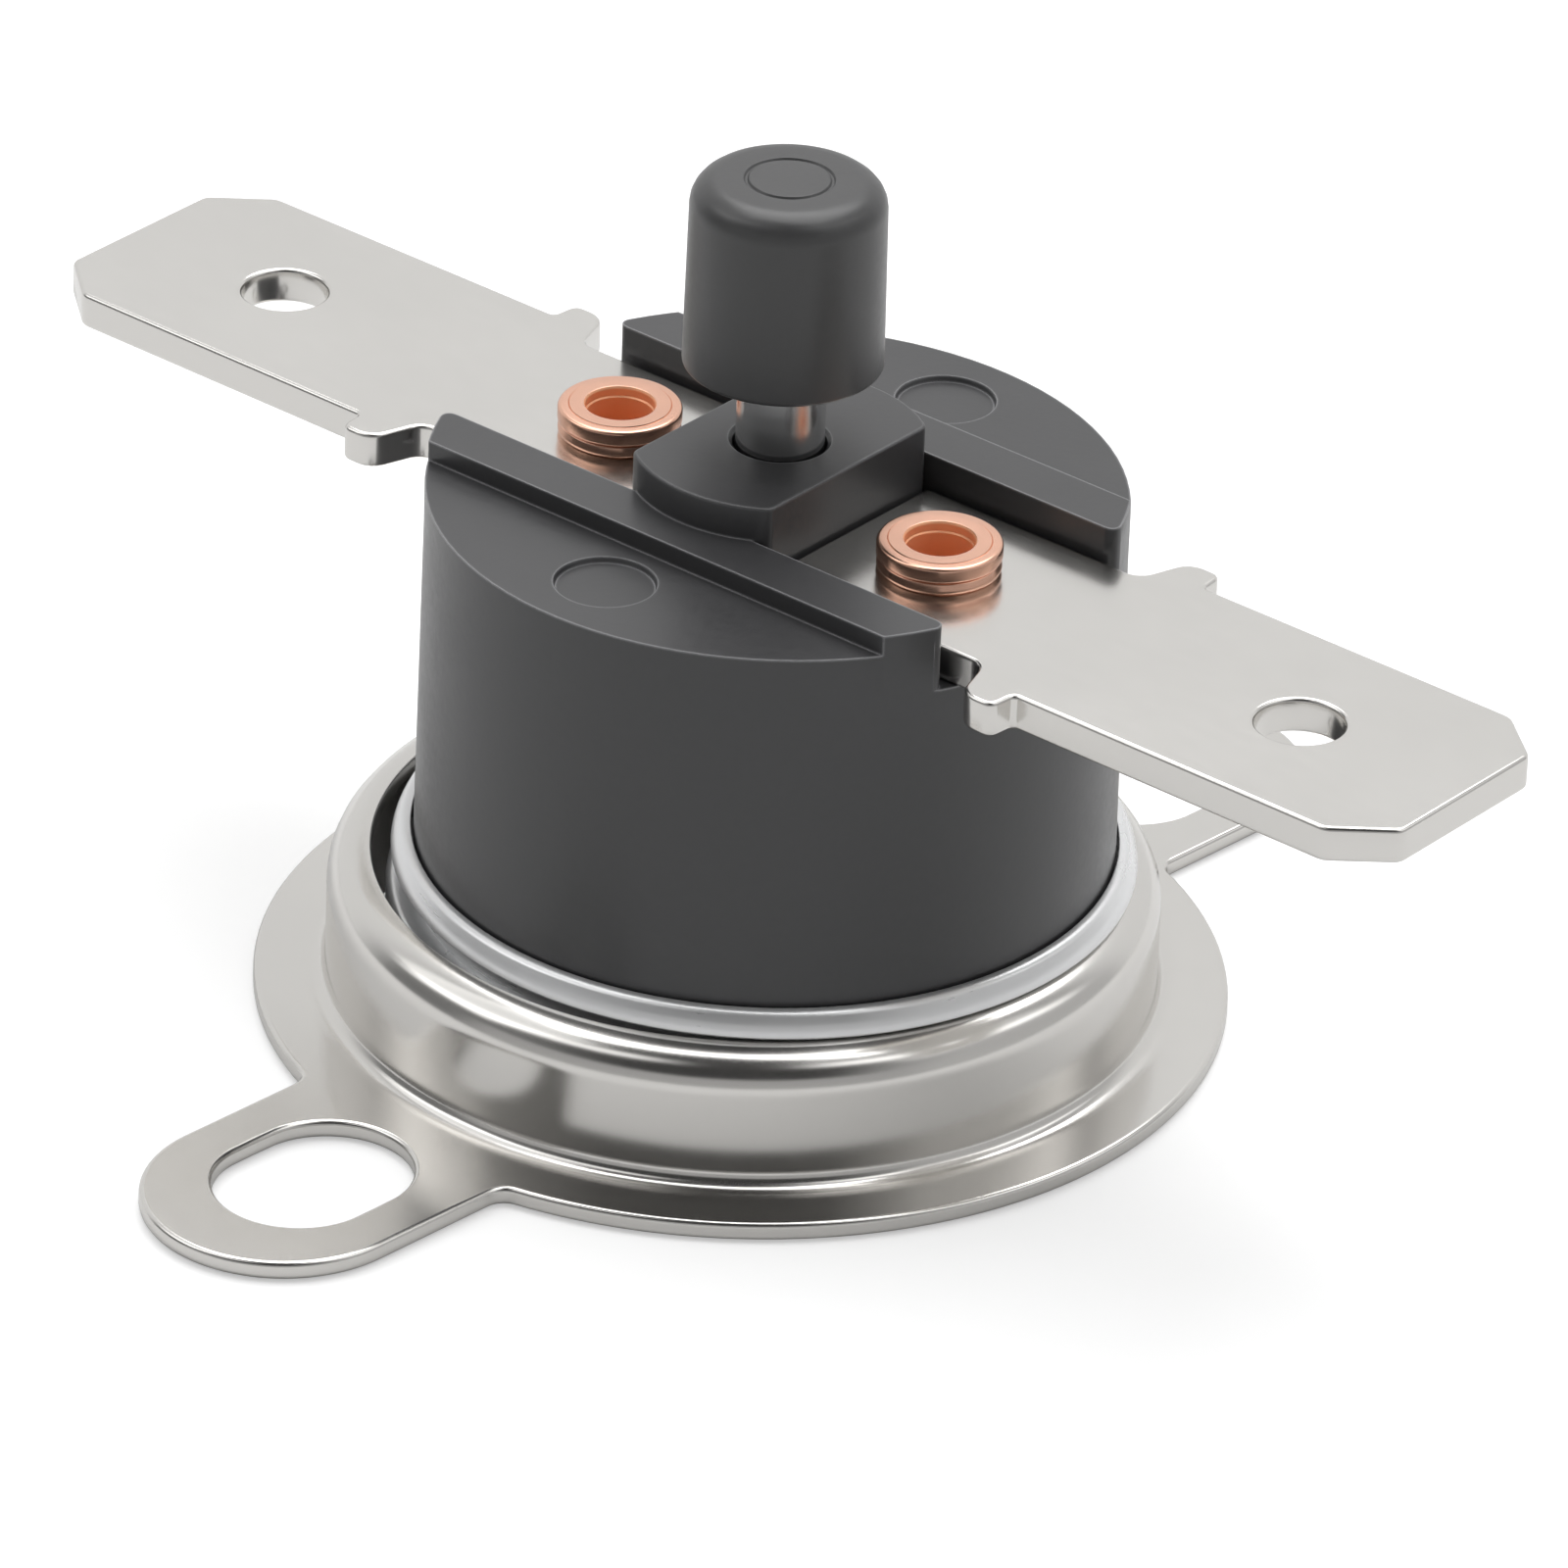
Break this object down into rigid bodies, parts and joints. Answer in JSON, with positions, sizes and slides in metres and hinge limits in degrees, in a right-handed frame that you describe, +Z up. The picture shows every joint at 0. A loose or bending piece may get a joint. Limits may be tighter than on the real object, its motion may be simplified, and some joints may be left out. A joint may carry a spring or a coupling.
{
  "type": "resettable thermal switch",
  "caption": "Round snap-disc temperature cut-out with blade terminals, a push-to-reset button and a loose slotted bracket.",
  "frame": {"origin": "centre of the sensing face, on the surface that the switch is fastened to", "axes": "+Z up along the reset button; the two bracket ears lie on the Y axis; the right-hand blade points 5 degrees from +X towards +Y"},
  "size_m": [0.0368, 0.0332, 0.0196],
  "materials": {
    "moulding": "fine moulded, slightly satin",
    "button_moulding": "smooth moulded satin",
    "nickel_plate": "nickel plated, satin",
    "copper": "bright copper",
    "bright_steel": "bright",
    "spring_steel": "bright wire",
    "brass": "rolled sheet",
    "spring_bronze": "rolled spring sheet",
    "silver": "satin",
    "ceramic": "unglazed white",
    "bimetal": "rolled strip",
    "drawn_aluminium": "drawn, bright",
    "plated_bracket": "bright nickel plated pressed steel"
  },
  "bodies": {
    "switch": {"housing": "moulding", "terminal_left": "nickel_plate", "terminal_right": "nickel_plate", "eyelet_left": "copper", "eyelet_right": "copper", "eyelet_washer_left": "copper", "eyelet_washer_right": "copper", "return_spring": "spring_steel", "spring_seat": "brass", "arm_carrier": "brass", "fixed_contact_strip": "brass", "fixed_contact": "silver", "guide_plate": "moulding", "disc_ring": "bright_steel", "bimetal_disc": "bimetal", "sensing_cup": "drawn_aluminium"},
    "button": {"reset_button": "button_moulding", "reset_shaft": "bright_steel", "shaft_clip": "bright_steel"},
    "pin": {"transfer_pin": "ceramic"},
    "arm": {"contact_arm": "spring_bronze", "moving_contact": "silver"},
    "bracket": {"mounting_bracket": "plated_bracket"}
  },
  "joints": [
    {"name": "button_travel", "type": "slide", "parent": "switch", "child": "button", "axis": [0, 0, -1], "range_m": [0, 0.001], "stiffness_N_per_m": 300, "springref_m": -0.001, "deforming": ["return_spring"]},
    {"name": "pin_lift", "type": "slide", "parent": "switch", "child": "pin", "axis": [0, 0, 1], "range_m": [0, 0.00035]},
    {"name": "arm_swing", "type": "hinge", "parent": "switch", "child": "arm", "pos_m": [-0.00299, -0.00026, 0.0078], "axis": [0.0872, -0.9962, 0], "range_deg": [0, 7.9], "stiffness_Nm_per_rad": 0.012, "springref_deg": -5.73},
    {"name": "bracket_swivel", "type": "hinge", "parent": "switch", "child": "bracket", "pos_m": [0, 0, 0], "axis": [0, 0, 1], "continuous": true}
  ],
  "couplings": [
    {"joint": "arm_swing", "follows": "pin_lift", "rad_per_m": 392}
  ]
}
